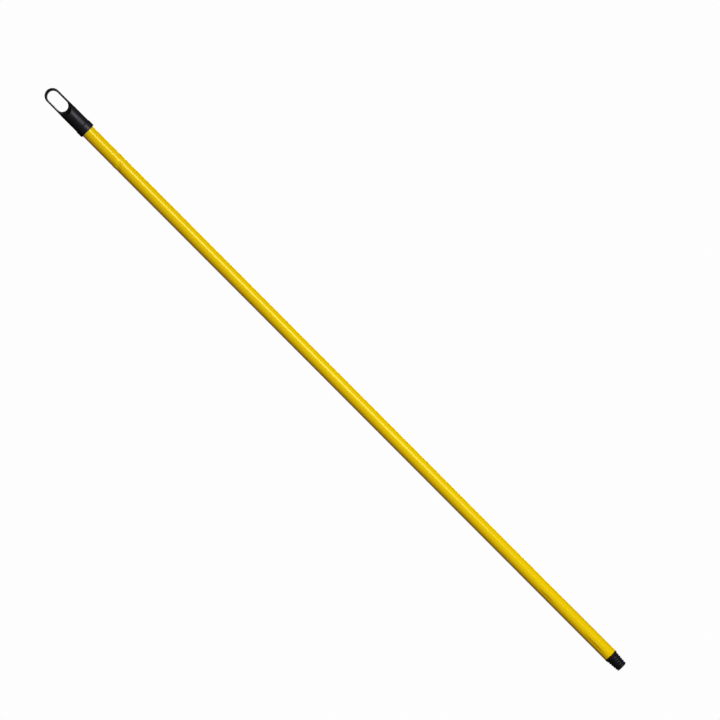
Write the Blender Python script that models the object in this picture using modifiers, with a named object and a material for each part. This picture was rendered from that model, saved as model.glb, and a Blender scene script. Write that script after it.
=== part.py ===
"""A broom handle: a coated steel tube with a hanging cap pressed over its top end and a screw tip in its bottom end.

The handle stands upright. The origin is the centre of the tip's end face, +Z runs up the tube to the cap, and the
cap's hanging slot goes through it along Y. Lengths are in metres.
"""

import math

import bmesh
import bpy
from mathutils import Matrix

MM = 0.001

# The whole handle, from the tip's end face to the top of the hanging loop.
HANDLE_LENGTH = 1220 * MM

# Steel tube, and the plastic film shrunk onto it.
STEEL_DIAMETER = 20.4 * MM
STEEL_WALL = 0.4 * MM
FILM_WALL = 0.25 * MM
FILM_FIT = 0.05 * MM  # gap between the steel and the film, on the radius
END_GAP = 0.3 * MM  # between each end of the tube and the shoulder that it meets

# Hanging cap. The tube goes into its socket, and the slot is in the flat loop above.
CAP_WALL = 1.5 * MM
SOCKET_DEPTH = 31 * MM
SOCKET_FIT = 0.1 * MM  # between the film and the socket's ribs, on the radius
SOCKET_RIB_COUNT = 6
SOCKET_RIB_HEIGHT = 0.2 * MM
SOCKET_RIB_WIDTH = 1.4 * MM
SOCKET_CHAMFER = 0.4 * MM
COLLAR_LENGTH = 9.6 * MM
COLLAR_LIP = 0.7 * MM  # how far the collar stands out from the cap's body
COLLAR_SLOPE = 2.5 * MM  # length over which the body widens into the collar
COLLAR_ROUND = 1.4 * MM
MOUTH_LAND = 0.2 * MM  # least flat left between that rounding and the socket's chamfer
CORE_STEP = 2.3 * MM  # shoulder that stops the tube, on the radius
CORE_LENGTH = 4.5 * MM  # straight part of the hollow above the shoulder
CORE_CONE = 6.5 * MM  # its cone-shaped end
CORE_TOP_RADIUS = 3 * MM
CORE_ROOF = 2.8 * MM  # between the hollow and the slot
LOOP_STEP = 0.3 * MM  # how much narrower than the body the loop is, on the radius
LOOP_THICKNESS = 10 * MM
LOOP_BLEND = 10 * MM  # length over which the loop widens into the body
SLOT_LENGTH = 37.0 * MM
RAIL_WIDTH = 2.7 * MM
LOOP_END_WALL = 4.8 * MM
SCOOP_MARGIN = 2.3 * MM  # flat rim between the slot's lower end and the slope up to the body
SCOOP_SLOPE = math.radians(33)  # of that slope, from the slot's own direction

# Screw tip. Its thread is tapered and right-handed, and its spigot goes into the steel tube.
THREAD_DIAMETER = 20.9 * MM  # over the crests, at the flange
THREAD_LENGTH = 22 * MM
THREAD_TAPER = math.radians(5)  # of one side
THREAD_PITCH = 4 * MM
THREAD_DEPTH = 0.9 * MM
RIDGE_BASE = 3 * MM
RIDGE_CREST = 1.4 * MM
NOSE_ROUND = 1.5 * MM
FLANGE_LENGTH = 3 * MM
FLANGE_LIP = 0.15 * MM  # how far the flange stands out from the film
SPIGOT_LENGTH = 28 * MM
SPIGOT_WALL = 1.9 * MM
SPIGOT_FIT = 0.1 * MM  # between the steel's bore and the spigot's ribs, on the radius
SPIGOT_CHAMFER = 0.8 * MM
SPIGOT_RIB_COUNT = 8
SPIGOT_RIB_HEIGHT = 0.3 * MM
SPIGOT_RIB_WIDTH = 1.2 * MM
TIP_END_WALL = 3 * MM

# How finely round shapes are drawn, and how far shapes reach into each other before they are joined.
ROUND_STEPS = 64
ARC_STEPS = 8
THREAD_STEPS = 48
EMBED = 0.3 * MM
SHARP_EDGE = math.radians(35)
MERGE = 0.00001

# Radii that follow from the sizes above, so that each piece fits its neighbour.
steel_radius = STEEL_DIAMETER / 2
film_radius = steel_radius + FILM_FIT + FILM_WALL
socket_rib_radius = film_radius + SOCKET_FIT
socket_radius = socket_rib_radius + SOCKET_RIB_HEIGHT
body_radius = socket_radius + CAP_WALL
collar_radius = body_radius + COLLAR_LIP
loop_radius = body_radius - LOOP_STEP
slot_radius = loop_radius - RAIL_WIDTH
crest_radius = THREAD_DIAMETER / 2
flange_radius = max(film_radius, crest_radius) + FLANGE_LIP
spigot_rib_radius = steel_radius - STEEL_WALL - SPIGOT_FIT
spigot_radius = spigot_rib_radius - SPIGOT_RIB_HEIGHT
spigot_bore_radius = spigot_radius - SPIGOT_WALL

# Heights that follow from the sizes above.
flange_top = THREAD_LENGTH + FLANGE_LENGTH
spigot_top = flange_top + SPIGOT_LENGTH
dome_centre = HANDLE_LENGTH - loop_radius
slot_top = HANDLE_LENGTH - LOOP_END_WALL
slot_bottom = slot_top - SLOT_LENGTH
core_top = slot_bottom - CORE_ROOF
socket_top = core_top - CORE_CONE - CORE_LENGTH
cap_bottom = socket_top - SOCKET_DEPTH
tube_bottom = flange_top + END_GAP
tube_top = socket_top - END_GAP


def clear_scene():
    for obj in list(bpy.data.objects):
        bpy.data.objects.remove(obj)


def new_collection(name):
    collection = bpy.data.collections.new(name)
    bpy.context.scene.collection.children.link(collection)
    return collection


def linear(hex_colour):
    """An sRGB hex colour as the linear RGBA that a shader takes."""
    parts = [int(hex_colour[i : i + 2], 16) / 255 for i in (0, 2, 4)]
    return [p / 12.92 if p <= 0.04045 else ((p + 0.055) / 1.055) ** 2.4 for p in parts] + [1]


def new_material(name, hex_colour, roughness, metallic=0.0):
    material = bpy.data.materials.new(name)
    material.use_nodes = True
    shader = material.node_tree.nodes["Principled BSDF"]
    shader.inputs["Base Color"].default_value = linear(hex_colour)
    shader.inputs["Roughness"].default_value = roughness
    shader.inputs["Metallic"].default_value = metallic
    return material


def new_object(name, mesh, collection, material=None):
    obj = bpy.data.objects.new(name, mesh)
    collection.objects.link(obj)
    if material:
        mesh.materials.append(material)
    return obj


def new_helper(name, bm, collection):
    """A shape that is only cut from, or joined to, a part."""
    mesh = bpy.data.meshes.new(name)
    bmesh.ops.recalc_face_normals(bm, faces=bm.faces)
    bm.to_mesh(mesh)
    bm.free()
    helper = new_object(name, mesh, collection)
    helper.hide_render = True
    helper.display_type = "WIRE"
    return helper


def arc(centre_r, centre_z, radius, start, end):
    """Points (r, z) on an arc, with its angles in degrees from the r axis towards +Z."""
    angles = [math.radians(start + (end - start) * i / ARC_STEPS) for i in range(ARC_STEPS + 1)]
    return [(centre_r + radius * math.cos(a), centre_z + radius * math.sin(a)) for a in angles]


def outline_mesh(name, outline, closed=False):
    """A mesh of the line through the points (r, z), in the XZ plane."""
    mesh = bpy.data.meshes.new(name)
    edges = [(i, i + 1) for i in range(len(outline) - 1)]
    if closed:
        edges.append((len(outline) - 1, 0))
    mesh.from_pydata([(r, 0, z) for r, z in outline], edges, [])
    return mesh


def turned(name, outline, collection, material=None, closed=False):
    """A solid turned round Z from an outline that runs down its outer side."""
    obj = new_object(name, outline_mesh(name, outline, closed), collection, material)
    screw = obj.modifiers.new("turn", "SCREW")
    screw.steps = ROUND_STEPS
    screw.render_steps = ROUND_STEPS
    screw.use_merge_vertices = True
    screw.merge_threshold = MERGE
    return obj


def boolean(obj, other, operation, solver="EXACT"):
    modifier = obj.modifiers.new(f"{operation.lower()} {other.name}", "BOOLEAN")
    modifier.operation = operation
    modifier.solver = solver
    modifier.object = other


def evaluated_mesh(obj):
    graph = bpy.context.evaluated_depsgraph_get()
    return bpy.data.meshes.new_from_object(obj.evaluated_get(graph))


def settle(obj):
    """Keep what the modifiers make as the object's own mesh, smooth between its sharp edges."""
    mesh = evaluated_mesh(obj)
    obj.modifiers.clear()
    obj.data = mesh
    mesh.shade_smooth()
    mesh.set_sharp_from_angle(angle=SHARP_EDGE)


def pipe(name, outer_radius, inner_radius, collection, material):
    """A length of tube that fills the space between the tip's flange and the cap's shoulder."""
    outline = [
        (outer_radius, tube_top),
        (outer_radius, tube_bottom),
        (inner_radius, tube_bottom),
        (inner_radius, tube_top),
    ]
    obj = turned(name, outline, collection, material, closed=True)
    settle(obj)


def ribs(name, count, width, inner_radius, outer_radius, low_z, high_z, collection):
    """Straight bars side by side round Z, each reaching from one radius to the other."""
    bm = bmesh.new()
    size = (outer_radius - inner_radius, width, high_z - low_z)
    middle = ((outer_radius + inner_radius) / 2, 0, (high_z + low_z) / 2)
    for i in range(count):
        turn = Matrix.Rotation(2 * math.pi * i / count, 4, "Z")
        place = turn @ Matrix.Translation(middle) @ Matrix.Diagonal((*size, 1))
        bmesh.ops.create_cube(bm, size=1, matrix=place)
    return new_helper(name, bm, collection)


def long_hole(name, near_radius, far_radius, near_y, far_y, low_z, high_z, collection):
    """A solid along Y with round ends at two heights, whose radius goes from one value to the other."""
    bm = bmesh.new()
    for y, radius in ((near_y, near_radius), (far_y, far_radius)):
        for z in (low_z, high_z):
            place = Matrix.Translation((0, y, z)) @ Matrix.Rotation(math.pi / 2, 4, "X")
            bmesh.ops.create_circle(bm, segments=ROUND_STEPS, radius=radius, matrix=place)
    hull = bmesh.ops.convex_hull(bm, input=bm.verts)
    inside = {v for v in hull["geom_interior"] + hull["geom_unused"] if isinstance(v, bmesh.types.BMVert)}
    bmesh.ops.delete(bm, geom=list(inside), context="VERTS")
    loose = [e for e in bm.edges if not e.link_faces]
    bmesh.ops.delete(bm, geom=loose, context="EDGES")
    return new_helper(name, bm, collection)


def hanging_cap(parts, helpers, material):
    """Domed cap with a socket below, a flat loop above, and a slot through the loop."""
    collar_top = cap_bottom + COLLAR_LENGTH
    mouth_radius = socket_radius + SOCKET_CHAMFER
    collar_round = min(COLLAR_ROUND, collar_radius - mouth_radius - MOUTH_LAND)
    shoulder_radius = socket_radius - CORE_STEP
    slot_low_centre = slot_bottom + slot_radius
    outline = arc(0, dome_centre, loop_radius, 90, 0)
    outline += [
        (loop_radius, slot_low_centre),
        (body_radius, slot_low_centre - LOOP_BLEND),
        (body_radius, collar_top + COLLAR_SLOPE),
        (collar_radius, collar_top),
    ]
    outline += arc(collar_radius - collar_round, cap_bottom + collar_round, collar_round, 0, -90)
    outline += [
        (mouth_radius, cap_bottom),
        (socket_radius, cap_bottom + SOCKET_CHAMFER),
        (socket_radius, socket_top),
        (shoulder_radius, socket_top),
        (shoulder_radius, socket_top + CORE_LENGTH),
        (CORE_TOP_RADIUS, core_top),
        (0, core_top),
    ]
    cap = turned("hanging_cap", outline, parts, material)

    grip = ribs(
        "socket_ribs", SOCKET_RIB_COUNT, SOCKET_RIB_WIDTH, socket_rib_radius, socket_radius + EMBED,
        cap_bottom + collar_round, socket_top + EMBED, helpers,
    )
    boolean(cap, grip, "UNION")

    flat = LOOP_THICKNESS / 2
    outside = body_radius + EMBED
    floor_radius = slot_radius + SCOOP_MARGIN
    outside_radius = floor_radius + (outside - flat) * math.tan(SCOOP_SLOPE)
    above = HANDLE_LENGTH + floor_radius
    for side, name in ((-1, "front_scoop"), (1, "back_scoop")):
        scoop = long_hole(
            name, floor_radius, outside_radius, side * flat, side * outside,
            slot_low_centre, above, helpers,
        )
        boolean(cap, scoop, "DIFFERENCE")
    slot = long_hole(
        "slot", slot_radius, slot_radius, -outside, outside,
        slot_low_centre, slot_top - slot_radius, helpers,
    )
    boolean(cap, slot, "DIFFERENCE")
    settle(cap)


def tapered(radius, z):
    """A radius given at the flange, at a height lower down the thread."""
    return radius - (THREAD_LENGTH - z) * math.tan(THREAD_TAPER)


def thread_ridge(helpers):
    """The thread's ridge, wound up the tapered core and into the flange."""
    turns = math.ceil(THREAD_LENGTH / THREAD_PITCH)
    first = THREAD_LENGTH + EMBED - turns * THREAD_PITCH
    foot_radius = crest_radius - THREAD_DEPTH - EMBED
    half_crest = RIDGE_CREST / 2
    half_foot = half_crest + (RIDGE_BASE - RIDGE_CREST) / 2 * (THREAD_DEPTH + EMBED) / THREAD_DEPTH
    outline = [
        (foot_radius, first + half_foot),
        (crest_radius, first + half_crest),
        (crest_radius, first - half_crest),
        (foot_radius, first - half_foot),
    ]
    coil = new_object("thread_coil", outline_mesh("thread_coil", outline, True), helpers)
    screw = coil.modifiers.new("wind", "SCREW")
    screw.steps = THREAD_STEPS
    screw.render_steps = THREAD_STEPS
    screw.screw_offset = THREAD_PITCH
    screw.iterations = turns
    bm = bmesh.new()
    bm.from_mesh(evaluated_mesh(coil))
    bpy.data.objects.remove(coil)
    bmesh.ops.holes_fill(bm, edges=[e for e in bm.edges if e.is_boundary])
    for v in bm.verts:
        radius = math.hypot(v.co.x, v.co.y)
        share = tapered(radius, v.co.z) / radius
        v.co.x *= share
        v.co.y *= share
    bmesh.ops.triangulate(bm, faces=bm.faces)
    return new_helper("thread_ridge", bm, helpers)


def nose_envelope(helpers):
    """All the space that the tip may fill, with a rounded edge at its lower end."""
    nose_radius = tapered(crest_radius, NOSE_ROUND)
    outside = flange_radius + EMBED
    outline = [
        (0, spigot_top + EMBED),
        (outside, spigot_top + EMBED),
        (outside, NOSE_ROUND + outside - nose_radius),
    ]
    outline += arc(nose_radius - NOSE_ROUND, NOSE_ROUND, NOSE_ROUND, 0, -90)
    outline.append((0, 0))
    envelope = turned("nose_envelope", outline, helpers)
    envelope.hide_render = True
    envelope.display_type = "WIRE"
    return envelope


def threaded_tip(parts, helpers, material):
    """Hollow plug: a ribbed spigot for the tube, a flange that covers the tube's end, and a tapered screw."""
    root = crest_radius - THREAD_DEPTH
    bore_at_end = tapered(root, TIP_END_WALL) - SPIGOT_WALL
    bore_at_flange = min(spigot_bore_radius, root - SPIGOT_WALL)
    outline = [
        (0, TIP_END_WALL),
        (bore_at_end, TIP_END_WALL),
        (bore_at_flange, THREAD_LENGTH),
        (spigot_bore_radius, flange_top),
        (spigot_bore_radius, spigot_top),
        (spigot_radius - SPIGOT_CHAMFER, spigot_top),
        (spigot_radius, spigot_top - SPIGOT_CHAMFER),
        (spigot_radius, flange_top),
        (flange_radius, flange_top),
        (flange_radius, THREAD_LENGTH),
        (root, THREAD_LENGTH),
        (tapered(root, -EMBED), -EMBED),
        (0, -EMBED),
    ]
    tip = turned("threaded_tip", outline, parts, material)
    grip = ribs(
        "spigot_ribs", SPIGOT_RIB_COUNT, SPIGOT_RIB_WIDTH, spigot_radius - EMBED, spigot_rib_radius,
        flange_top - EMBED, spigot_top - 2 * SPIGOT_CHAMFER, helpers,
    )
    boolean(tip, grip, "UNION")
    # The ridge's twisted faces leave open edges with the exact solver.
    boolean(tip, thread_ridge(helpers), "UNION", solver="MANIFOLD")
    boolean(tip, nose_envelope(helpers), "INTERSECT", solver="MANIFOLD")
    settle(tip)


def main():
    clear_scene()
    parts = new_collection("broom_handle")
    helpers = new_collection("cutters")
    steel = new_material("steel", "A9ACAD", 0.35, 1.0)
    yellow_film = new_material("yellow_film", "E6BE00", 0.32)
    black_plastic = new_material("black_plastic", "141416", 0.45)

    pipe("steel_tube", steel_radius, steel_radius - STEEL_WALL, parts, steel)
    pipe("yellow_sleeve", film_radius, film_radius - FILM_WALL, parts, yellow_film)
    hanging_cap(parts, helpers, black_plastic)
    threaded_tip(parts, helpers, black_plastic)


main()
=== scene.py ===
# %% [markdown]
# # A coated broom handle
#
# A broom handle is a thin steel tube, a little over a metre long, with a glossy
# yellow plastic film shrunk over it. A moulded cap with a slot closes the top,
# so that the handle can hang on a hook. A moulded tip with a coarse, tapered
# thread closes the bottom and screws into a broom head.
#
# The engineering model is already there: four plain solids at their real size
# and place. This lesson dresses them. It measures the solids first, then makes
# a smooth cap, a smooth tip and a real film, gives every piece its material,
# and ends with a small studio.

# %% Load the frame
import math

import bmesh
import bpy
from mathutils import Matrix, Vector


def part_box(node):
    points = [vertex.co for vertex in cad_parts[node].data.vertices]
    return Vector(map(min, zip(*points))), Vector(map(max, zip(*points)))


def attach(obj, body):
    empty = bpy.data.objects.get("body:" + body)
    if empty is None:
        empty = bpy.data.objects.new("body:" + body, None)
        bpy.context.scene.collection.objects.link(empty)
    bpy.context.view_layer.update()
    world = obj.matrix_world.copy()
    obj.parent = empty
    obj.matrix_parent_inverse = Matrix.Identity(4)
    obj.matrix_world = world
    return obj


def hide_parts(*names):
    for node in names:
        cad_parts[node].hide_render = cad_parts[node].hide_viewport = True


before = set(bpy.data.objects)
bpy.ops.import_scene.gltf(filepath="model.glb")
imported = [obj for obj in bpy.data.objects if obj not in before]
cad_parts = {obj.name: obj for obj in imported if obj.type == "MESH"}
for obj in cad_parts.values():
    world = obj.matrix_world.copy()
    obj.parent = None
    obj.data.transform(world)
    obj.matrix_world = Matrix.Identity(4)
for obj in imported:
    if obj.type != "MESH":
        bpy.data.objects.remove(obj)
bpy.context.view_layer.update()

print("CAD nodes:", ", ".join(sorted(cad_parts)))

# %% [markdown]
# ## Sizes
#
# Everything is in metres, with +Z up the handle and the hanging slot through
# the cap along Y. The boxes of the four solids give each piece its place and
# its main diameter. Only what a box can't tell, such as a wall or a rounding,
# is written as a number, in millimetres.

# %% Measure the solids
MM = 0.001

cap_low, cap_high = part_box("hanging_cap")
film_low, film_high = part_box("yellow_sleeve")
tip_low, tip_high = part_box("threaded_tip")

handle_top = cap_high.z
cap_bottom = cap_low.z
collar_radius = cap_high.x
film_radius = film_high.x
film_bottom, film_top = film_low.z, film_high.z
steel_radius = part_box("steel_tube")[1].x
tip_bottom, tip_top = tip_low.z, tip_high.z
flange_radius = tip_high.x

print(f"handle {handle_top / MM:.0f} mm long")
print(f"film {2 * film_radius / MM:.1f} mm across")

# %% [markdown]
# ## Working by hand, in code
#
# In the edit window a modeller clicks on what the next tool acts on. A script
# has no mouse, so it deselects everything, adds a primitive, and picks faces or
# edges by where they are. A few small helpers do that. Each one comes just
# before it is first used, and the first of them are used for every piece.

# %% Select one piece


def start_clean():
    """Leaves edit mode, with nothing selected, not even the loaded solids."""
    if bpy.context.mode != "OBJECT":
        bpy.ops.object.mode_set(mode="OBJECT")
    bpy.ops.object.select_all(action="DESELECT")


def take(piece):
    """Selects one piece alone and makes it the one that the next tool acts on."""
    start_clean()
    piece.select_set(True)
    bpy.context.view_layer.objects.active = piece


# %% Tidy and measure a mesh
DOUBLED = 0.001 * MM  # points nearer to each other than this are one point


def settle(piece):
    """Moves the object's place into its mesh, so that it sits at the origin."""
    take(piece)
    bpy.ops.object.transform_apply(location=True, rotation=True, scale=True)


def close_up(piece):
    """Merges doubled points and turns every face outwards."""
    take(piece)
    bpy.ops.object.mode_set(mode="EDIT")
    bpy.ops.mesh.select_all(action="SELECT")
    bpy.ops.mesh.remove_doubles(threshold=DOUBLED)
    bpy.ops.mesh.normals_make_consistent(inside=False)
    bpy.ops.object.mode_set(mode="OBJECT")


def report(piece):
    """Prints a piece's size and its number of triangles."""
    triangles = sum(len(face.vertices) - 2 for face in piece.data.polygons)
    sides = " x ".join(f"{side / MM:.1f}" for side in piece.dimensions)
    print(f"{piece.name}: {sides} mm, {triangles} triangles")


# %% [markdown]
# ## Round shapes
#
# The cap and the tip come out of steel moulds that were turned on a lathe, so
# their basic shape is an outline carried round an axis. It could be a Screw
# modifier on a drawn outline. Here a disc is added and its rim is extruded from
# one height to the next and scaled each time, the way a pot is raised, because
# each step of the outline can then be read as a step of the work.

# %% Lay points on a rounded corner
CORNER_STEPS = 8


def rounding(centre_radius, centre_height, radius, start, end, steps=CORNER_STEPS):
    """A corner's points between two angles, in degrees up from straight outwards."""
    points = []
    for i in range(steps + 1):
        angle = math.radians(start + (end - start) * i / steps)
        points.append(
            (
                centre_radius + radius * math.cos(angle),
                centre_height + radius * math.sin(angle),
            )
        )
    return points


print(f"a rounded corner has {len(rounding(0, 0, 1, 0, 90))} points")

# %% Raise a round shape from a disc
TURNED_SIDES = 192


def raise_round(name, outline, sides=TURNED_SIDES, first_face="NGON", closed=True):
    """Adds a disc at the outline's first point and extrudes its rim on from there."""
    start_clean()
    radius, height = outline[0]
    bpy.ops.mesh.primitive_circle_add(
        vertices=sides, radius=radius, fill_type=first_face, location=(0, 0, height)
    )
    piece = bpy.context.object
    piece.name = name
    bpy.ops.object.mode_set(mode="EDIT")
    bpy.ops.mesh.select_mode(type="EDGE")
    bpy.ops.mesh.select_all(action="SELECT")
    if first_face == "NGON":
        bpy.ops.mesh.region_to_loop()
    for next_radius, next_height in outline[1:]:
        bpy.ops.mesh.extrude_edges_move(
            TRANSFORM_OT_translate={"value": (0, 0, next_height - height)}
        )
        share = next_radius / radius
        bpy.ops.transform.resize(
            value=(share, share, 1), center_override=(0, 0, next_height)
        )
        radius, height = next_radius, next_height
    if closed:
        # A last rim on the same spot is drawn together into one point.
        bpy.ops.mesh.extrude_edges_move(TRANSFORM_OT_translate={"value": (0, 0, 0)})
        bpy.ops.mesh.merge(type="CENTER")
    settle(piece)
    close_up(piece)
    return piece


# %% [markdown]
# ## The hanging cap
#
# The cap is one injection moulding in black polypropylene: a collar, a sleeve
# that grips the tube, a solid shoulder, and a loop with a long slot. Its front
# and back are scooped down to a flat band round the slot, so that the mould's
# two halves can meet there and little plastic is wasted.
#
# The round body is raised first, with the socket inside it. Then a few simple
# blocks are cut away from it.

# %% The cap's sizes
SOCKET_RADIUS = 10.8 * MM
SOCKET_TOP = 31 * MM  # above the collar's lower edge
SOCKET_CHAMFER = 0.4 * MM
SHOULDER_RADIUS = 8.5 * MM
SHOULDER_HEIGHT = 4.5 * MM
ROOF_RADIUS = 3 * MM
ROOF_HEIGHT = 11 * MM  # above the socket's top
BODY_RADIUS = 12.3 * MM
COLLAR_LENGTH = 9.6 * MM
COLLAR_SLOPE = 2.5 * MM
COLLAR_ROUND = 1.4 * MM
LOOP_RADIUS = 12 * MM
LOOP_BLEND = 10 * MM
SLOT_RADIUS = 9.3 * MM
SLOT_LENGTH = 37 * MM
SLOT_END_WALL = 4.8 * MM

socket_top = cap_bottom + SOCKET_TOP
collar_top = cap_bottom + COLLAR_LENGTH
slot_top = handle_top - SLOT_END_WALL
slot_bottom = slot_top - SLOT_LENGTH
slot_low_centre = slot_bottom + SLOT_RADIUS
print(f"the slot runs from {slot_bottom / MM:.1f} mm to {slot_top / MM:.1f} mm up")

# %% Raise the cap's body
DOME_END = 88  # degrees: it stops short of the pole, and the last rim closes it
DOME_STEPS = 24

socket = [
    (ROOF_RADIUS, socket_top + ROOF_HEIGHT),
    (SHOULDER_RADIUS, socket_top + SHOULDER_HEIGHT),
    (SHOULDER_RADIUS, socket_top),
    (SOCKET_RADIUS, socket_top),
    (SOCKET_RADIUS, cap_bottom + SOCKET_CHAMFER),
    (SOCKET_RADIUS + SOCKET_CHAMFER, cap_bottom),
]
collar = [
    *rounding(
        collar_radius - COLLAR_ROUND, cap_bottom + COLLAR_ROUND, COLLAR_ROUND, -90, 0
    ),
    (collar_radius, collar_top),
    (BODY_RADIUS, collar_top + COLLAR_SLOPE),
]
loop = [
    (BODY_RADIUS, slot_low_centre - LOOP_BLEND),
    (LOOP_RADIUS, slot_low_centre),
    *rounding(0, handle_top - LOOP_RADIUS, LOOP_RADIUS, 0, DOME_END, DOME_STEPS),
]
cap = raise_round("cap_moulding", socket + collar + loop)
report(cap)

# %% [markdown]
# ### The scoops and the slot
#
# The slot has half-round ends. A cube of its full length is added, and its four
# long edges are bevelled until they meet, which gives exactly that shape. A
# scoop is the same block with its inner face inset and pushed inwards: the
# inset keeps the margin even all the way round, so the scoop's slope is the
# same along the sides and round the end.

# %% Pick faces, edges or points
NEAR = 0.1 * MM  # a point this near to a place counts as on it


def pick(piece, kind, wanted):
    """In edit mode, selects only the faces, edges or points that are wanted."""
    bpy.ops.mesh.select_mode(type=kind)
    bpy.ops.mesh.select_all(action="DESELECT")
    shape = bmesh.from_edit_mesh(piece.data)
    items = {"FACE": shape.faces, "EDGE": shape.edges, "VERT": shape.verts}[kind]
    for item in items:
        if wanted(item):
            item.select_set(True)
    shape.select_flush_mode()
    bmesh.update_edit_mesh(piece.data)


# %% Shape a block with half-round ends
ROUND_END_STEPS = 40
NEARLY_ALL = 0.9995  # of the radius, so that two bevels never quite touch


def round_ended_block(name, radius, low_z, high_z, near_y, far_y):
    """A block through the cap along Y, with half-round lower and upper ends."""
    start_clean()
    middle = (0, (near_y + far_y) / 2, (low_z + high_z) / 2)
    bpy.ops.mesh.primitive_cube_add(size=1, location=middle)
    block = bpy.context.object
    block.name = name
    bpy.ops.object.mode_set(mode="EDIT")
    bpy.ops.mesh.select_all(action="SELECT")
    bpy.ops.transform.resize(
        value=(2 * radius, abs(far_y - near_y), high_z - low_z), center_override=middle
    )
    pick(
        block,
        "EDGE",
        lambda edge: abs(edge.verts[0].co.y - edge.verts[1].co.y) > NEAR,
    )
    bpy.ops.mesh.bevel(
        offset=radius * NEARLY_ALL,
        segments=ROUND_END_STEPS,
        affect="EDGES",
        clamp_overlap=True,
    )
    return block


# %% Apply a modifier, or cut with a block


def apply_modifier(piece, kind, **settings):
    """Adds one modifier, sets it, and applies it straight away."""
    take(piece)
    modifier = piece.modifiers.new(kind.title(), kind)
    for name, value in settings.items():
        setattr(modifier, name, value)
    bpy.ops.object.modifier_apply(modifier=modifier.name)


def cut(piece, tool, operation="DIFFERENCE"):
    """Cuts the tool away, or joins it, or keeps what both share. The tool goes."""
    apply_modifier(
        piece, "BOOLEAN", object=tool, operation=operation, solver="MANIFOLD"
    )
    bpy.data.objects.remove(tool)


# %% Cut the scoops
LOOP_HALF = 5 * MM
SCOOP_MARGIN = 2.3 * MM
SCOOP_SLOPE = math.radians(33)
CLEAR = 1 * MM  # how far a cutting block stands out of what it cuts
FACING = 0.9  # a face looks inwards if at least this much of its normal does

scoop_radius = SLOT_RADIUS + SCOOP_MARGIN
cut_depth = BODY_RADIUS + CLEAR
scoop_depth = cut_depth - LOOP_HALF
scoop_growth = scoop_depth * math.tan(SCOOP_SLOPE)

for side, name in ((-1, "front_scoop"), (1, "back_scoop")):
    scoop = round_ended_block(
        name,
        scoop_radius + scoop_growth,
        slot_low_centre - scoop_radius - scoop_growth,
        handle_top + 3 * scoop_radius,  # its upper end stays well above the cap
        side * (cut_depth + CLEAR),
        side * cut_depth,
    )
    pick(scoop, "FACE", lambda face: -side * face.normal.y > FACING)
    bpy.ops.mesh.inset(thickness=scoop_growth, depth=scoop_depth)
    settle(scoop)
    close_up(scoop)
    cut(cap, scoop)
report(cap)

# %% Cut the slot
slot = round_ended_block(
    "slot_block", SLOT_RADIUS, slot_bottom, slot_top, -cut_depth, cut_depth
)
settle(slot)
close_up(slot)
cut(cap, slot)
report(cap)

# %% [markdown]
# ### Moulded edges
#
# Nothing that comes out of a mould has a knife edge: the steel of the mould
# wears, and the plastic shrinks as it cools, so every edge has a small
# rounding. A Bevel modifier would give it, but not where a scoop runs out on
# the round body, where the angle between the two goes from steep to nothing.
# A voxel remesh gives the whole cap one even skin instead, and a few rounds of
# smoothing pull that skin round each edge. The skin is fairly coarse, which
# holds the cap under 200,000 triangles.

# %% Give the cap its moulded skin
CAP_SKIN = 0.36 * MM
CAP_SMOOTHING = 5


def mould_skin(piece, grain, rounds):
    """Remeshes a piece with an even skin and smooths it round every edge."""
    apply_modifier(
        piece, "REMESH", mode="VOXEL", voxel_size=grain, use_smooth_shade=True
    )
    apply_modifier(piece, "SMOOTH", factor=0.5, iterations=rounds)
    close_up(piece)
    piece.data.shade_smooth()
    report(piece)


mould_skin(cap, CAP_SKIN, CAP_SMOOTHING)

# %% [markdown]
# ## The threaded tip
#
# The tip is the other moulding. Above its flange it is a hollow plug that is
# pressed into the tube. Below the flange it carries a coarse thread on a taper,
# which starts easily in a wooden or plastic socket and jams tight after a few
# turns.
#
# The plug and the core of the screw are raised like the cap. The inside of the
# bore is the first part of the outline, so that the wall is real.

# %% The tip's sizes
THREAD_LENGTH = 22 * MM
THREAD_PITCH = 4 * MM
THREAD_DEPTH = 0.9 * MM
THREAD_TAPER = math.radians(5)
CREST_RADIUS = 10.45 * MM  # at the flange
RIDGE_BASE = 3.0 * MM
RIDGE_CREST = 1.4 * MM
NOSE_ROUND = 1.5 * MM
FLANGE_LENGTH = 3 * MM
FLANGE_ROUND = 0.35 * MM
PLUG_RADIUS = 9.4 * MM
PLUG_WALL = 1.9 * MM
PLUG_CHAMFER = 0.8 * MM
TIP_END_WALL = 3 * MM

flange_low = tip_bottom + THREAD_LENGTH
flange_high = flange_low + FLANGE_LENGTH
root_radius = CREST_RADIUS - THREAD_DEPTH
plug_bore = PLUG_RADIUS - PLUG_WALL
print(f"the thread is {2 * root_radius / MM:.1f} mm across at its foot")

# %% Raise the tip's core
FLANGE_STEPS = 4


def tapered(radius, height):
    """A radius given at the flange, at a height lower down the thread."""
    return radius - (flange_low - height) * math.tan(THREAD_TAPER)


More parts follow.
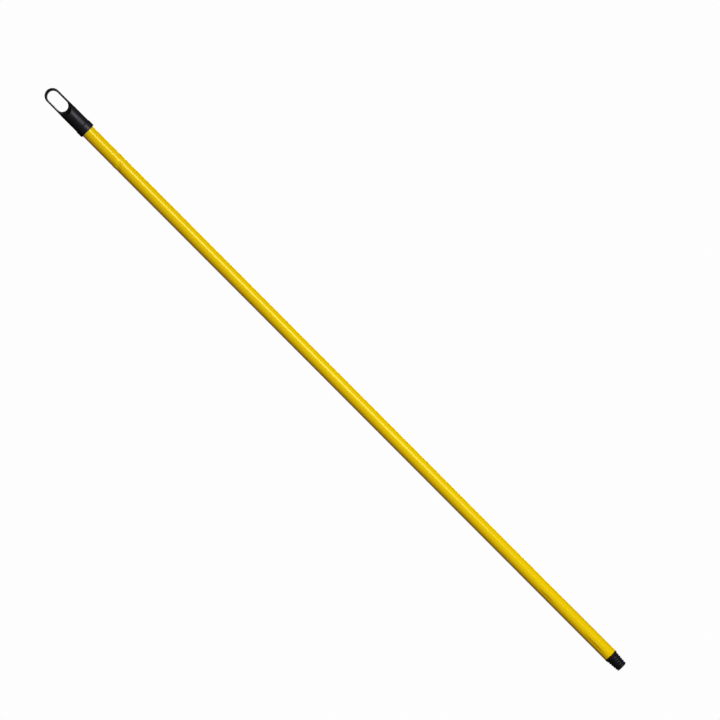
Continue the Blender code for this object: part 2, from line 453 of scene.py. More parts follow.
bore_end = tip_bottom + TIP_END_WALL
core_end = tip_bottom - CLEAR
rounded_flange = flange_radius - FLANGE_ROUND
bore = [
    (tapered(root_radius, bore_end) - PLUG_WALL, bore_end),
    (min(plug_bore, root_radius - PLUG_WALL), flange_low),
    (plug_bore, flange_high),
    (plug_bore, tip_top),
]
plug = [
    (PLUG_RADIUS - PLUG_CHAMFER, tip_top),
    (PLUG_RADIUS, tip_top - PLUG_CHAMFER),
    (PLUG_RADIUS, flange_high),
]
flange = [
    *rounding(
        rounded_flange, flange_high - FLANGE_ROUND, FLANGE_ROUND, 90, 0, FLANGE_STEPS
    ),
    *rounding(
        rounded_flange, flange_low + FLANGE_ROUND, FLANGE_ROUND, 0, -90, FLANGE_STEPS
    ),
]
core = [(root_radius, flange_low), (tapered(root_radius, core_end), core_end)]
tip = raise_round("tip_moulding", bore + plug + flange + core)
report(tip)

# %% [markdown]
# ### The thread
#
# A thread is one ridge, wound round the core. It starts as a small square that
# is scaled into the ridge's section: broad at the foot, narrow at the crest. A
# Screw modifier winds the square up the axis, and a Simple Deform modifier
# tapers the coil. The coil is longer than the thread, and what stands out at
# the nose is taken off with a rounded cone.

# %% Shape the ridge's section
RIDGE_SUNK = 0.5 * MM  # how far the ridge's foot is sunk into the core
COIL_LIFT = 0.3 * MM  # carries the coil's upper end into the flange

section_depth = THREAD_DEPTH + RIDGE_SUNK
turns = math.ceil(THREAD_LENGTH / THREAD_PITCH) + 1
coil_start = -turns * THREAD_PITCH + COIL_LIFT  # below the flange

start_clean()
bpy.ops.mesh.primitive_plane_add(size=1, location=(0, 0, flange_low))
ridge = bpy.context.object
ridge.name = "thread_ridge"
bpy.ops.object.mode_set(mode="EDIT")
bpy.ops.mesh.select_all(action="SELECT")
bpy.ops.transform.rotate(
    value=math.pi / 2, orient_axis="X", center_override=(0, 0, flange_low)
)
bpy.ops.transform.resize(
    value=(section_depth, 1, RIDGE_BASE), center_override=(0, 0, flange_low)
)
bpy.ops.transform.translate(value=(CREST_RADIUS - section_depth / 2, 0, coil_start))
pick(
    ridge,
    "EDGE",
    lambda edge: min(v.co.x for v in edge.verts) > CREST_RADIUS - NEAR,
)
bpy.ops.transform.resize(
    value=(1, 1, RIDGE_CREST / RIDGE_BASE),
    center_override=(CREST_RADIUS, 0, flange_low + coil_start),
)
bpy.ops.mesh.select_all(action="SELECT")
bpy.ops.mesh.delete(type="ONLY_FACE")
bpy.ops.object.mode_set(mode="OBJECT")
print(f"a section {section_depth / MM:.1f} mm deep, to be wound {turns} times")

# %% Wind the ridge
RIDGE_STEPS = 96

apply_modifier(
    ridge,
    "SCREW",
    steps=RIDGE_STEPS,
    render_steps=RIDGE_STEPS,
    screw_offset=THREAD_PITCH,
    iterations=turns,
)
bpy.ops.object.mode_set(mode="EDIT")
bpy.ops.mesh.select_mode(type="VERT")
bpy.ops.mesh.select_all(action="DESELECT")
bpy.ops.mesh.select_non_manifold()
bpy.ops.mesh.fill_holes(sides=4)  # the coil's two open ends are square
bpy.ops.object.mode_set(mode="OBJECT")

# The deform scales each height by 1 + factor x height / length, counted from
# the flange, where the object's origin still is.
apply_modifier(
    ridge,
    "SIMPLE_DEFORM",
    deform_method="TAPER",
    deform_axis="Z",
    factor=math.tan(THREAD_TAPER) / CREST_RADIUS * ridge.dimensions.z,
)
settle(ridge)
close_up(ridge)
report(ridge)

# %% Join the ridge to the core and round the nose
CREST_SPARE = 0.02 * MM  # the envelope clears the crest by this at the flange

nose_low = tip_bottom + NOSE_ROUND
nose_radius = tapered(CREST_RADIUS, nose_low)
envelope = raise_round(
    "nose_envelope",
    [
        (flange_radius + CLEAR, tip_top + CLEAR),
        (flange_radius + CLEAR, flange_low),
        (CREST_RADIUS + CREST_SPARE, flange_low),
        *rounding(nose_radius - NOSE_ROUND, nose_low, NOSE_ROUND, 0, -90),
    ],
)
cut(tip, ridge, "UNION")
cut(tip, envelope, "INTERSECT")
report(tip)

# %% [markdown]
# ### The tip's moulded skin
#
# The same remesh and smoothing rounds the thread's crest and fills its foot a
# little, as the mould does. The skin is finer here, because the ridge is only
# about a millimetre high.

# %% Give the tip its moulded skin
TIP_SKIN = 0.32 * MM
TIP_SMOOTHING = 3

mould_skin(tip, TIP_SKIN, TIP_SMOOTHING)

# %% [markdown]
# ## The film
#
# The yellow is a hose of plastic film, pulled over the steel tube and shrunk
# tight with heat. It is only a quarter of a millimetre thick, so it shows what
# is under it: it follows each small unevenness of the steel, and where the tube
# once took a knock, the film has a crease.
#
# An open ring is extruded up the tube and subdivided lengthwise, with finer
# rings where the crease comes.

# %% Raise the film
FILM_SIDES = 128
RIM_ROUND = 0.2 * MM
RIM_START = -70  # degrees
RIM_STEPS = 4
CREASE_HEIGHT = 1067 * MM
CREASE_REACH = 24 * MM  # the finer rings run this far above and below the crease

crease_low = CREASE_HEIGHT - CREASE_REACH
crease_high = CREASE_HEIGHT + CREASE_REACH
film = raise_round(
    "shrunk_film",
    [
        *rounding(
            film_radius - RIM_ROUND,
            film_bottom + RIM_ROUND,
            RIM_ROUND,
            RIM_START,
            0,
            RIM_STEPS,
        ),
        (film_radius, crease_low),
        (film_radius, crease_high),
        (film_radius, film_top),
    ],
    sides=FILM_SIDES,
    first_face="NOTHING",
    closed=False,
)
report(film)

# %% Divide the film lengthwise
SHORTEST_UPRIGHT = 2 * MM  # shorter edges belong to the rounded rim
# From which height, to which height, and with how many rings between.
RINGS = (
    (film_bottom, crease_low, 99),
    (crease_low, crease_high, 63),
    (crease_high, film_top, 14),
)


def is_upright(edge, low, high):
    """True for an edge that runs up the film between these two heights."""
    foot, head = sorted(v.co.z for v in edge.verts)
    return head - foot > SHORTEST_UPRIGHT and foot > low - CLEAR and head < high + CLEAR


bpy.ops.object.mode_set(mode="EDIT")
for low, high, rings in RINGS:
    pick(film, "EDGE", lambda edge: is_upright(edge, low, high))
    bpy.ops.mesh.subdivide(number_cuts=rings)
bpy.ops.object.mode_set(mode="OBJECT")
report(film)

# %% [markdown]
# ### The crease
#
# The crease runs slantwise over the side of the tube: a shallow groove with a
# slight swelling beside it, where the film was pushed together. Proportional
# editing moves a few points and lets the move fade out round them, as a thumb
# would in clay. Each dent is one such push. The steel lies only 0.3 mm below
# the film's skin, so the pushes inwards stay shallow.

# %% Push like a thumb
SAME_DISTANCE = 0.01 * MM  # points this much farther than the nearest move too


def push(piece, azimuth, height, depth, reach):
    """Presses the film in at a spot, fading out over a reach.

    Azimuth is in degrees from -Y towards +X. A depth below zero pulls it out.
    """
    angle = math.radians(azimuth)
    outwards = Vector((math.sin(angle), -math.cos(angle), 0))
    spot = outwards * film_radius + Vector((0, 0, height))
    bpy.ops.object.mode_set(mode="EDIT")
    nearest = min((v.co - spot).length for v in piece.data.vertices)
    pick(piece, "VERT", lambda v: (v.co - spot).length < nearest + SAME_DISTANCE)
    bpy.ops.transform.translate(
        value=-outwards * depth,
        use_proportional_edit=True,
        proportional_edit_falloff="SMOOTH",
        proportional_size=reach,
    )
    bpy.ops.object.mode_set(mode="OBJECT")


# %% Press the crease into the film
# Azimuth, height from the crease's middle, depth and reach, in mm.
DENTS = (
    (28, 5.0, 0.06, 5),
    (14, 2.0, 0.08, 5),
    (-4, -1.0, 0.12, 5),
    (-30, -3.0, 0.12, 5),
    (-58, -5.5, 0.14, 6),
    (-86, -7.0, 0.14, 7),
    (24, -3.0, -0.10, 5),
    (-20, 3.0, -0.20, 5),
    (-60, 1.5, -0.35, 5),
    (-84, 1.0, -0.35, 5),
)

take(film)
for azimuth, height, depth, reach in DENTS:
    push(film, azimuth, CREASE_HEIGHT + height * MM, depth * MM, reach * MM)
deepest = max(depth for azimuth, height, depth, reach in DENTS)
print(f"{len(DENTS)} pushes, the deepest {deepest} mm")

# %% [markdown]
# ### The wall
#
# So far the film has no thickness. A Solidify modifier adds a wall on its
# inside, so the outside keeps its measured size, and both ends get a real rim.

# %% Give the film its wall
FILM_WALL = 0.25 * MM
SHARP_EDGE = math.radians(50)

apply_modifier(film, "SOLIDIFY", thickness=FILM_WALL, offset=-1, use_even_offset=True)
film.data.shade_smooth()
bpy.ops.object.shade_smooth_by_angle(angle=SHARP_EDGE)
report(film)

# %% [markdown]
# ## Materials
#
# Colours are picked as sRGB hex values, which is how paint and screens name
# them, but the shader works in linear light. One function turns the one into
# the other. A second small function adds a node with its settings and links,
# so that each material below reads as a list of what it is made of.
#
# Every pattern is laid on Object coordinates. These are metres on the piece,
# so a pattern's scale is one over its real size.

# %% Turn hex colours into linear light


def linear(hex_colour):
    """An sRGB hex colour as linear red, green and blue, with full alpha."""
    channels = [int(hex_colour[i : i + 2], 16) / 255 for i in (0, 2, 4)]
    return (
        *(
            c / 12.92 if c <= 0.04045 else ((c + 0.055) / 1.055) ** 2.4
            for c in channels
        ),
        1,
    )


def grey(level):
    """A grey for a socket or a ramp that carries a plain number."""
    return (level, level, level, 1)


print(f"the middle grey of a screen is {linear('808080')[0]:.3f} in linear light")

# %% Helpers for materials


def new_material(name):
    """An empty material, with its node tree and its output."""
    material = bpy.data.materials.new(name)
    material.use_nodes = True
    material.node_tree.nodes.clear()
    output = material.node_tree.nodes.new("ShaderNodeOutputMaterial")
    return material, material.node_tree, output


def add_node(tree, kind, settings=None, inputs=None):
    """Adds a node. Each input is a value, or the output socket linked to it."""
    node = tree.nodes.new(kind)
    for name, value in (settings or {}).items():
        setattr(node, name, value)
    for name, value in (inputs or {}).items():
        if isinstance(value, bpy.types.NodeSocket):
            tree.links.new(value, node.inputs[name])
        else:
            node.inputs[name].default_value = value
    return node


# %% [markdown]
# ### Round the tube
#
# The film and the steel both have marks that follow the tube's weld, a line up
# the tube at one angle. No ready coordinate says how far round a point lies, so
# a few Math nodes work it out: the angle of X and Y, and then how far that is
# from the weld's angle.

# %% Measure round the tube
SEAM_AZIMUTH = math.radians(-17.7)


def angle_round(tree, split):
    """The angle round the axis, in radians from -Y towards +X."""
    minus_y = add_node(
        tree,
        "ShaderNodeMath",
        {"operation": "MULTIPLY"},
        {0: split.outputs["Y"], 1: -1},
    )
    azimuth = add_node(
        tree,
        "ShaderNodeMath",
        {"operation": "ARCTAN2"},
        {0: split.outputs["X"], 1: minus_y.outputs[0]},
    )
    return azimuth.outputs[0]


def angle_from_seam(tree, azimuth):
    """How far an angle is from the weld's, to either side."""
    off_seam = add_node(
        tree, "ShaderNodeMath", {"operation": "SUBTRACT"}, {0: azimuth, 1: SEAM_AZIMUTH}
    )
    off_seam_size = add_node(
        tree, "ShaderNodeMath", {"operation": "ABSOLUTE"}, {0: off_seam.outputs[0]}
    )
    return off_seam_size.outputs[0]


print(f"the weld is {math.degrees(SEAM_AZIMUTH):.1f} degrees round from the front")

# %% [markdown]
# ### Yellow film
#
# The film is soft PVC, blown as a hose and shrunk with hot air. Its skin is
# glossy but never quite even: it has long faint lines from the die that it was
# drawn through, and a soft orange-peel where it cooled. The pigment is dense,
# so the colour is nearly flat, with only slow changes where the film was
# stretched more. Low down, the weld of the steel tube shows through as a few
# thin brownish marks. The gloss is tinted towards yellow, as some of its light
# has passed through the film's skin.
#
# The material is made layer by layer, and one shader at the end takes them all.

# %% Lay the film's slow changes
FILM_YELLOW = "F0D405"
FILM_YELLOW_THIN = "EBCC03"
FILM_ROUGHNESS = (0.17, 0.26)
STRETCH_SIZE = 100 / 3 * MM  # across the tube
STRETCH_LENGTH = 5 * STRETCH_SIZE
NOISE_LOW, NOISE_HIGH = 0.3, 0.7  # nearly all of a noise lies between these

yellow_film, tree, output = new_material("shrunk_pvc_film")
place = add_node(tree, "ShaderNodeTexCoord").outputs["Object"]
split = add_node(tree, "ShaderNodeSeparateXYZ", inputs={"Vector": place})
stretch_place = add_node(
    tree,
    "ShaderNodeMapping",
    inputs={
        "Vector": place,
        "Scale": (1 / STRETCH_SIZE, 1 / STRETCH_SIZE, 1 / STRETCH_LENGTH),
    },
)
stretch = add_node(
    tree,
    "ShaderNodeTexNoise",
    inputs={"Vector": stretch_place.outputs["Vector"], "Scale": 1, "Detail": 3},
)
pigment = add_node(
    tree,
    "ShaderNodeMix",
    {"data_type": "RGBA"},
    {
        "Factor": stretch.outputs["Fac"],
        "A": linear(FILM_YELLOW),
        "B": linear(FILM_YELLOW_THIN),
    },
)
gloss = add_node(
    tree,
    "ShaderNodeMapRange",
    inputs={
        "Value": stretch.outputs["Fac"],
        "From Min": NOISE_LOW,
        "From Max": NOISE_HIGH,
        "To Min": FILM_ROUGHNESS[0],
        "To Max": FILM_ROUGHNESS[1],
    },
)
print("film colour, linear:", [round(c, 3) for c in linear(FILM_YELLOW)[:3]])

# %% Let the weld show through the film
SEAM_BROWN = "8C6402"
SEAM_WIDTH = 1.2 * MM
# How strongly the weld shows at each height, in mm above the tip's end.
SEAM_MARKS = (
    (30, 0),
    (45, 0.9),
    (62, 1),
    (78, 0),
    (140, 0),
    (150, 0.9),
    (162, 0.8),
    (174, 0),
)

azimuth = angle_round(tree, split)
seam_band = add_node(
    tree,
    "ShaderNodeMapRange",
    {"interpolation_type": "SMOOTHSTEP"},
    {
        "Value": angle_from_seam(tree, azimuth),
        "From Min": 0,
        "From Max": SEAM_WIDTH / film_radius,
        "To Min": 1,
        "To Max": 0,
    },
)
# The ramp is fed with Z, so the places of its stops are heights in metres.
seam_along = add_node(tree, "ShaderNodeValToRGB", inputs={"Fac": split.outputs["Z"]})
stops = seam_along.color_ramp.elements
while len(stops) < len(SEAM_MARKS):
    stops.new(1)
for stop, (height, strength) in zip(stops, SEAM_MARKS):
    stop.position = height * MM
    stop.color = grey(strength)
seam = add_node(
    tree,
    "ShaderNodeMath",
    {"operation": "MULTIPLY"},
    {0: seam_band.outputs["Result"], 1: seam_along.outputs["Color"]},
)
marked = add_node(
    tree,
    "ShaderNodeMix",
    {"data_type": "RGBA"},
    {
        "Factor": seam.outputs[0],
        "A": pigment.outputs["Result"],
        "B": linear(SEAM_BROWN),
    },
)
print(f"the weld's marks have {len(stops)} stops along the tube")

# %% Draw die lines and orange peel
DIE_LINE_WIDTH = 1.2 * MM
DIE_LINE_LENGTH = 144 * MM
DIE_LINE_DEPTH = 0.006 * MM
PEEL_SIZE = 5 * MM
PEEL_DEPTH = 0.01 * MM

line_place = add_node(
    tree,
    "ShaderNodeMapping",
    inputs={
        "Vector": place,
        "Scale": (1 / DIE_LINE_WIDTH, 1 / DIE_LINE_WIDTH, 1 / DIE_LINE_LENGTH),
    },
)
lines = add_node(
    tree,
    "ShaderNodeTexNoise",
    inputs={"Vector": line_place.outputs["Vector"], "Scale": 1, "Detail": 2},
)
line_bump = add_node(
    tree,
    "ShaderNodeBump",
    inputs={"Height": lines.outputs["Fac"], "Strength": 1, "Distance": DIE_LINE_DEPTH},
)
peel = add_node(
    tree,
    "ShaderNodeTexNoise",
    inputs={"Vector": place, "Scale": 1 / PEEL_SIZE, "Detail": 2, "Roughness": 0.45},
)
peel_bump = add_node(
    tree,
    "ShaderNodeBump",
    inputs={
        "Height": peel.outputs["Fac"],
        "Strength": 1,
        "Distance": PEEL_DEPTH,
        "Normal": line_bump.outputs["Normal"],
    },
)
print(f"orange peel {PEEL_SIZE / MM:.0f} mm across, {PEEL_DEPTH / MM} mm deep")

# %% [markdown]
# ### The crease's groove
#
# The pushes gave the crease its outline, but there is too little room over the
# steel for its full depth. A bump adds the rest. It only bends the light, so it
# can be wide and soft. On the film laid out flat the groove is a slanting line,
# and its depth follows from how far up or down a point is from that line.

# %% Deepen the crease
CREASE_RISE = 7 * MM  # per radian round the tube
CREASE_DROP = 1 * MM  # how far below the crease's middle it crosses the front
CREASE_WIDTH = 7 * MM
CREASE_DEPTH = 0.4 * MM

crease_height = add_node(
    tree,
    "ShaderNodeMath",
    {"operation": "MULTIPLY_ADD"},
    {0: azimuth, 1: CREASE_RISE, 2: CREASE_HEIGHT - CREASE_DROP},
)
off_crease = add_node(
    tree,
    "ShaderNodeMath",
    {"operation": "SUBTRACT"},
    {0: split.outputs["Z"], 1: crease_height.outputs[0]},
)
off_crease_size = add_node(
    tree, "ShaderNodeMath", {"operation": "ABSOLUTE"}, {0: off_crease.outputs[0]}
)
crease_groove = add_node(
    tree,
    "ShaderNodeMapRange",
    {"interpolation_type": "SMOOTHSTEP"},
    {
        "Value": off_crease_size.outputs[0],
        "From Min": 0,
        "From Max": CREASE_WIDTH,
        "To Min": 0,
        "To Max": 1,
    },
)
crease_bump = add_node(
    tree,
    "ShaderNodeBump",
    inputs={
        "Height": crease_groove.outputs["Result"],
        "Strength": 1,
        "Distance": CREASE_DEPTH,
        "Normal": peel_bump.outputs["Normal"],
    },
)
print(f"the crease crosses the front at {(CREASE_HEIGHT - CREASE_DROP) / MM:.0f} mm")

# %% Finish the yellow film
PVC_IOR = 1.53
FILM_SHINE = 0.75  # 0.5 is what the IOR alone gives; a fresh film shines more
GLOSS_YELLOW = "FFF48C"

skin = add_node(
    tree,
    "ShaderNodeBsdfPrincipled",
    inputs={
        "Base Color": marked.outputs["Result"],
        "Roughness": gloss.outputs["Result"],
        "IOR": PVC_IOR,
        "Specular IOR Level": FILM_SHINE,
        "Specular Tint": linear(GLOSS_YELLOW),
        "Normal": crease_bump.outputs["Normal"],
    },
)
tree.links.new(skin.outputs["BSDF"], output.inputs["Surface"])
print(f"{yellow_film.name}: {len(tree.nodes)} nodes")

# %% [markdown]
# ### Black polypropylene
#
# Both mouldings are polypropylene coloured with carbon black. The mould's steel
# is spark-eroded, which leaves a fine even grain that the plastic copies, so
# the gloss is soft and slightly blue-grey where the light grazes it. The two
# halves of the mould meet along the sides, where a hair-thin line runs up.

# %% Lay the plastic's colour and gloss
PLASTIC_BLACK = "151619"
PLASTIC_GREYED = "1C1D21"
PLASTIC_ROUGHNESS = (0.38, 0.48)
FLOW_SIZE = 50 / 3 * MM

black_plastic, tree, output = new_material("moulded_polypropylene")
place = add_node(tree, "ShaderNodeTexCoord").outputs["Object"]
split = add_node(tree, "ShaderNodeSeparateXYZ", inputs={"Vector": place})
flow = add_node(
    tree,
    "ShaderNodeTexNoise",
    inputs={"Vector": place, "Scale": 1 / FLOW_SIZE, "Detail": 3, "Distortion": 0.6},
)
colour = add_node(
    tree,
    "ShaderNodeMix",
    {"data_type": "RGBA"},
    {
        "Factor": flow.outputs["Fac"],
        "A": linear(PLASTIC_BLACK),
        "B": linear(PLASTIC_GREYED),
    },
)
satin = add_node(
    tree,
    "ShaderNodeMapRange",
    inputs={
        "Value": flow.outputs["Fac"],
        "From Min": NOISE_LOW,
        "From Max": NOISE_HIGH,
        "To Min": PLASTIC_ROUGHNESS[0],
        "To Max": PLASTIC_ROUGHNESS[1],
    },
)
print("plastic colour, linear:", [round(c, 4) for c in linear(PLASTIC_BLACK)[:3]])

# %% Draw the parting line and the grain
PARTING_WIDTH = 0.12 * MM
PARTING_DEPTH = 0.04 * MM
SPARK_GRAIN = 0.35 * MM  # really about 0.08 mm, drawn coarser so that it shows
SPARK_DEPTH = 0.02 * MM

from_parting = add_node(
    tree, "ShaderNodeMath", {"operation": "ABSOLUTE"}, {0: split.outputs["Y"]}
)
parting = add_node(
    tree,
    "ShaderNodeMapRange",
    {"interpolation_type": "SMOOTHSTEP"},
    {
        "Value": from_parting.outputs[0],
        "From Min": 0,
        "From Max": PARTING_WIDTH,
        "To Min": 1,
        "To Max": 0,
    },
)
parting_bump = add_node(
    tree,
    "ShaderNodeBump",
    inputs={
        "Height": parting.outputs["Result"],
        "Strength": 1,
        "Distance": PARTING_DEPTH,
    },
)
grain = add_node(
    tree,
    "ShaderNodeTexNoise",
    inputs={"Vector": place, "Scale": 1 / SPARK_GRAIN, "Detail": 3, "Roughness": 0.6},
)
grain_bump = add_node(
    tree,
    "ShaderNodeBump",
    inputs={
        "Height": grain.outputs["Fac"],
        "Strength": 1,
        "Distance": SPARK_DEPTH,
        "Normal": parting_bump.outputs["Normal"],
    },
)
print(f"grain {SPARK_GRAIN / MM} mm across, parting line {PARTING_WIDTH / MM} mm wide")

# %% Finish the black plastic
POLYPROPYLENE_IOR = 1.49
GLOSS_BLUISH = "F0F2FF"

skin = add_node(
    tree,
    "ShaderNodeBsdfPrincipled",
    inputs={
        "Base Color": colour.outputs["Result"],
        "Roughness": satin.outputs["Result"],
        "IOR": POLYPROPYLENE_IOR,
        "Specular Tint": linear(GLOSS_BLUISH),
        "Normal": grain_bump.outputs["Normal"],
    },
)
tree.links.new(skin.outputs["BSDF"], output.inputs["Surface"])
print(f"{black_plastic.name}: {len(tree.nodes)} nodes")

# %% [markdown]
# ### Bare steel
#
# The tube is cold-rolled strip, bent round and welded along one line. It is
# hidden by the film, but anyone who takes the handle apart sees it: satin grey,
# with fine rolling lines along its length and a bluish heat band beside the
# weld.

# %% Draw the steel's rolling lines
STEEL_ROUGHNESS = (0.28, 0.42)
ROLL_LINE_WIDTH = 0.4 * MM
ROLL_LINE_LENGTH = 60 * MM
ROLL_LINE_DEPTH = 0.01 * MM

bare_steel, tree, output = new_material("cold_rolled_steel")
place = add_node(tree, "ShaderNodeTexCoord").outputs["Object"]
split = add_node(tree, "ShaderNodeSeparateXYZ", inputs={"Vector": place})
line_place = add_node(
    tree,
    "ShaderNodeMapping",
    inputs={
        "Vector": place,
        "Scale": (1 / ROLL_LINE_WIDTH, 1 / ROLL_LINE_WIDTH, 1 / ROLL_LINE_LENGTH),
    },
)
lines = add_node(
    tree,
    "ShaderNodeTexNoise",
    inputs={"Vector": line_place.outputs["Vector"], "Scale": 1, "Detail": 4},
)
satin = add_node(
    tree,
    "ShaderNodeMapRange",
    inputs={
        "Value": lines.outputs["Fac"],
        "From Min": NOISE_LOW,
        "From Max": NOISE_HIGH,
        "To Min": STEEL_ROUGHNESS[0],
        "To Max": STEEL_ROUGHNESS[1],
    },
)
roll_bump = add_node(
    tree,
    "ShaderNodeBump",
    inputs={
        "Height": lines.outputs["Fac"],
        "Strength": 1,
        "Distance": ROLL_LINE_DEPTH,
    },
)
print(f"rolling lines {ROLL_LINE_WIDTH / MM} mm wide")

# %% Blue the steel beside its weld and finish it
STEEL_GREY = "A4A6A8"
STEEL_BLUED = "6B7078"
HEAT_BAND = 2.5 * MM

heat = add_node(
    tree,
    "ShaderNodeMapRange",
    {"interpolation_type": "SMOOTHSTEP"},
    {
        "Value": angle_from_seam(tree, angle_round(tree, split)),
        "From Min": 0,
        "From Max": HEAT_BAND / steel_radius,
        "To Min": 1,
        "To Max": 0,
    },
)
colour = add_node(
    tree,
    "ShaderNodeMix",
    {"data_type": "RGBA"},
    {
        "Factor": heat.outputs["Result"],
        "A": linear(STEEL_GREY),
        "B": linear(STEEL_BLUED),
    },
)
metal = add_node(
    tree,
    "ShaderNodeBsdfPrincipled",
    inputs={
        "Base Color": colour.outputs["Result"],
        "Metallic": 1.0,
        "Roughness": satin.outputs["Result"],
        "Normal": roll_bump.outputs["Normal"],
    },
)
tree.links.new(metal.outputs["BSDF"], output.inputs["Surface"])
print(f"{bare_steel.name}: {len(tree.nodes)} nodes")

# %% [markdown]
# ## Dressing the handle
#
# Each new piece takes the place of the solid that it was measured from. Nothing
# on a handle moves, so all the pieces ride on the one body. The steel tube keeps
# the mesh of its solid, because a plain tube is already right, and only gets its
# material.

# %% Dress the pieces and hang them on the frame


def finish_with(piece, material):
    """Gives a piece one material."""
    piece.data.materials.clear()
    piece.data.materials.append(material)


for piece, node, slot_name, material in (
    (cap, "hanging_cap", "black_plastic", black_plastic),
    (tip, "threaded_tip", "black_plastic", black_plastic),
    (film, "yellow_sleeve", "yellow_film", yellow_film),
):
    finish_with(piece, material)
    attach(piece, "root")
    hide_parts(node)
    print(f"{piece.name} takes the place of {node}")

steel_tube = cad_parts["steel_tube"]
finish_with(steel_tube, bare_steel)

# %% [markdown]
# ## The studio
#
# A handle is shown on a white ground, in soft light. The ground is a wide floor
# that sweeps up into a wall all the way round, so that no edge shows from any
# side. It could be paper, lit by lamps of its own. Here it is acrylic, lit from
# behind, and the handle neither mirrors it nor is lit by it. So the white stays
# even, and the lamps alone shape the tube.

# %% Raise the floor and its sweep
FLOOR_RADIUS = 15.0
SWEEP_RADIUS = 3.0
SWEEP_START = -80  # degrees: one step up from the floor
SWEEP_SIDES = 96
WALL_HEIGHT = 9.0

sweep = raise_round(
    "studio_sweep",
    [
        (FLOOR_RADIUS, 0.0),
        *rounding(FLOOR_RADIUS, SWEEP_RADIUS, SWEEP_RADIUS, SWEEP_START, 0),
        (FLOOR_RADIUS + SWEEP_RADIUS, WALL_HEIGHT),
    ],
    sides=SWEEP_SIDES,
    closed=False,
)
sweep.data.shade_smooth()
print(f"a floor {2 * FLOOR_RADIUS:.0f} m across")

# %% Light the ground from behind
BACKDROP_GLOW = 0.985

backdrop, tree, output = new_material("backlit_white_acrylic")
matt = add_node(
    tree,
    "ShaderNodeBsdfPrincipled",
    inputs={
        "Base Color": grey(0.0),
        "Roughness": 1.0,
        "Specular IOR Level": 0.0,
        "Emission Color": grey(1.0),
        "Emission Strength": BACKDROP_GLOW,
    },
)
tree.links.new(matt.outputs["BSDF"], output.inputs["Surface"])
backdrop.cycles.emission_sampling = "NONE"
finish_with(sweep, backdrop)
for ray in ("diffuse", "glossy", "transmission", "shadow"):
    setattr(sweep, f"visible_{ray}", False)
print(f"the ground glows at {BACKDROP_GLOW} of full white")

# %% [markdown]
# ### The lamps
#
# The lamps are tall and narrow, like the handle. The key lamp stands to the
# right of the camera, and its mirror image is the long highlight. It ends above
# the floor, so the highlight fades out towards the tip. The low lamp under it
# goes on with its light but is not mirrored. A weak fill near the camera lifts
# the front, and the left side stays darker, so that the tube looks round. Two
# lamps behind light the back, and the air of the room adds a little warm light
# from all round.

# %% Make a tall lamp


def add_lamp(name, azimuth, distance, low, high, width, watts, mirrored):
    """A tall soft lamp that faces the handle.

    Azimuth is in degrees from -Y towards +X. The other sizes are in metres.
    """
    angle = math.radians(azimuth)
    lamp = bpy.data.lights.new(name, "AREA")
    lamp.shape = "RECTANGLE"
    lamp.size = width
    lamp.size_y = high - low
    lamp.energy = watts
    stand = bpy.data.objects.new(name, lamp)
    stand.location = (
        math.sin(angle) * distance,
        -math.cos(angle) * distance,
        (low + high) / 2,
    )
    stand.rotation_euler = (math.pi / 2, 0, angle)
    stand.visible_glossy = mirrored
    bpy.context.scene.collection.objects.link(stand)
    print(f"{name}: {watts} W, {distance} m away")


# %% Place the lamps
# Name, azimuth, distance, lower and upper end, width, watts, mirrored.
LAMPS = (
    ("key_lamp", 38, 1.6, 0.24, 1.75, 0.56, 16.5, True),
    ("low_lamp", 38, 1.6, -1.0, 0.24, 0.56, 14, False),
    ("front_fill", -10, 2.0, -0.8, 1.8, 0.5, 6, False),
    ("back_lamp", 170, 1.8, 0.0, 1.8, 0.6, 12, True),
    ("rear_fill", 200, 1.8, -0.6, 1.8, 0.8, 20, False),
)
AIR_COLOUR = "FFB68E"
AIR_STRENGTH = 0.16

for lamp in LAMPS:
    add_lamp(*lamp)

world = bpy.data.worlds.new("studio_air")
bpy.context.scene.world = world
world.use_nodes = True
air = world.node_tree.nodes["Background"]
air.inputs["Color"].default_value = linear(AIR_COLOUR)
air.inputs["Strength"].default_value = AIR_STRENGTH
world.cycles_visibility.glossy = False
bpy.context.scene.view_settings.view_transform = "Standard"
print(f"air light at {AIR_STRENGTH}")

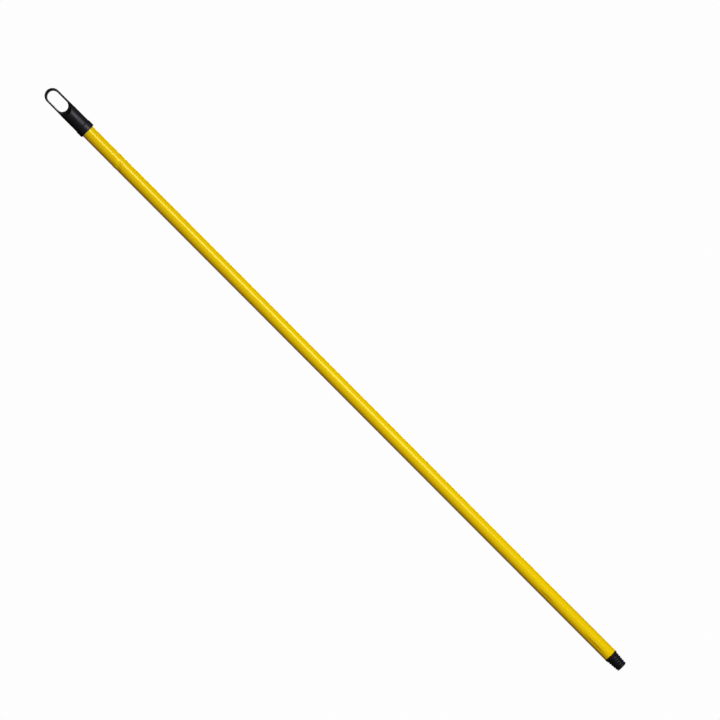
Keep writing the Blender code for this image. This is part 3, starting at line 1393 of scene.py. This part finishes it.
# %% [markdown]
# ## The camera
#
# A long lens from twelve metres away keeps the handle's sides parallel. The
# handle lies across the picture's diagonal, with its cap at the upper left, so
# the camera is rolled by about an eighth of a turn. It stands a few degrees to
# the right of the slot's axis, so that a little of the slot's left wall shows,
# and looks down by two degrees.

# %% Aim the camera
CAMERA_AZIMUTH = math.radians(5)
CAMERA_ELEVATION = math.radians(2)
CAMERA_ROLL = math.radians(44.91)
CAMERA_DISTANCE = 12.0
HANDLE_LEFT_OF_MIDDLE = 0.0468
MIDDLE_HEIGHT = 0.6039

sideways = Vector((math.cos(CAMERA_AZIMUTH), math.sin(CAMERA_AZIMUTH), 0))
level = Vector((math.sin(CAMERA_AZIMUTH), -math.cos(CAMERA_AZIMUTH), 0))
straight_up = Vector((0, 0, 1))
rise, reach = math.sin(CAMERA_ELEVATION), math.cos(CAMERA_ELEVATION)
towards_camera = level * reach + straight_up * rise
up = straight_up * reach - level * rise
target = sideways * HANDLE_LEFT_OF_MIDDLE + straight_up * MIDDLE_HEIGHT
picture_right = sideways * math.cos(CAMERA_ROLL) - up * math.sin(CAMERA_ROLL)
picture_up = sideways * math.sin(CAMERA_ROLL) + up * math.cos(CAMERA_ROLL)
print("the camera looks at", [round(side, 3) for side in target])

# %% Place the camera
PICTURE_WIDTH = 1.0776  # metres across the picture, at the handle
SENSOR_WIDTH = 36.0
NEAREST_SEEN, FARTHEST_SEEN = 0.1, 60

lens = bpy.data.cameras.new("camera")
lens.sensor_width = SENSOR_WIDTH
lens.lens = SENSOR_WIDTH * CAMERA_DISTANCE / PICTURE_WIDTH
lens.clip_start, lens.clip_end = NEAREST_SEEN, FARTHEST_SEEN
camera = bpy.data.objects.new("camera", lens)
bpy.context.scene.collection.objects.link(camera)
camera.location = target + towards_camera * CAMERA_DISTANCE
turn = Matrix((picture_right, picture_up, towards_camera)).transposed()
camera.rotation_mode = "QUATERNION"
camera.rotation_quaternion = turn.to_quaternion()
bpy.context.scene.camera = camera
print(f"lens {lens.lens:.0f} mm")

# %% [markdown]
# ## The last step
#
# The dressed handle keeps the sizes of the solids it was made from. The last
# cell brings the scene up to date.

# %% Update the scene and finish
bpy.context.view_layer.update()
